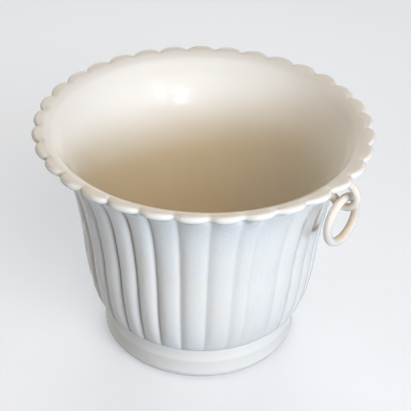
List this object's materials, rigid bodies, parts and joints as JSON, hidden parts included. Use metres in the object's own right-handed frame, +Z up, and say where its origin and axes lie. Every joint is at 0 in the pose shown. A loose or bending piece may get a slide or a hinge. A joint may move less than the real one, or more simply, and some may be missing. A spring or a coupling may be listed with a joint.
{
  "type": "planter pot",
  "caption": "Glazed ceramic cachepot with a fluted wall, a flared petalled rim, a plain raised foot and loose ring handles hung from lugs under the rim.",
  "frame": {"origin": "on the floor under the pot, on the axis of the foot", "axes": "+Z up along the pot's axis, +X towards the right handle, -Y towards the front"},
  "size_m": [0.2956, 0.2794, 0.2074],
  "materials": {
    "pot_glaze": "gloss white glaze",
    "handle_glaze": "gloss white glaze"
  },
  "bodies": {
    "pot": {"pot_body": "pot_glaze", "foot_ring": "pot_glaze", "lug_right": "handle_glaze", "lug_left": "handle_glaze"},
    "handle_right": {"ring_right": "handle_glaze"},
    "handle_left": {"ring_left": "handle_glaze"}
  },
  "joints": [
    {"name": "ring_right_swing", "type": "hinge", "parent": "pot", "child": "handle_right", "pos_m": [0.1341, 0, 0.18735], "axis": [-0.0872, -0.9962, 0], "range_deg": [-30, 130]},
    {"name": "ring_left_swing", "type": "hinge", "parent": "pot", "child": "handle_left", "pos_m": [-0.1341, 0, 0.18735], "axis": [0.0872, 0.9962, 0], "range_deg": [-30, 130]}
  ]
}
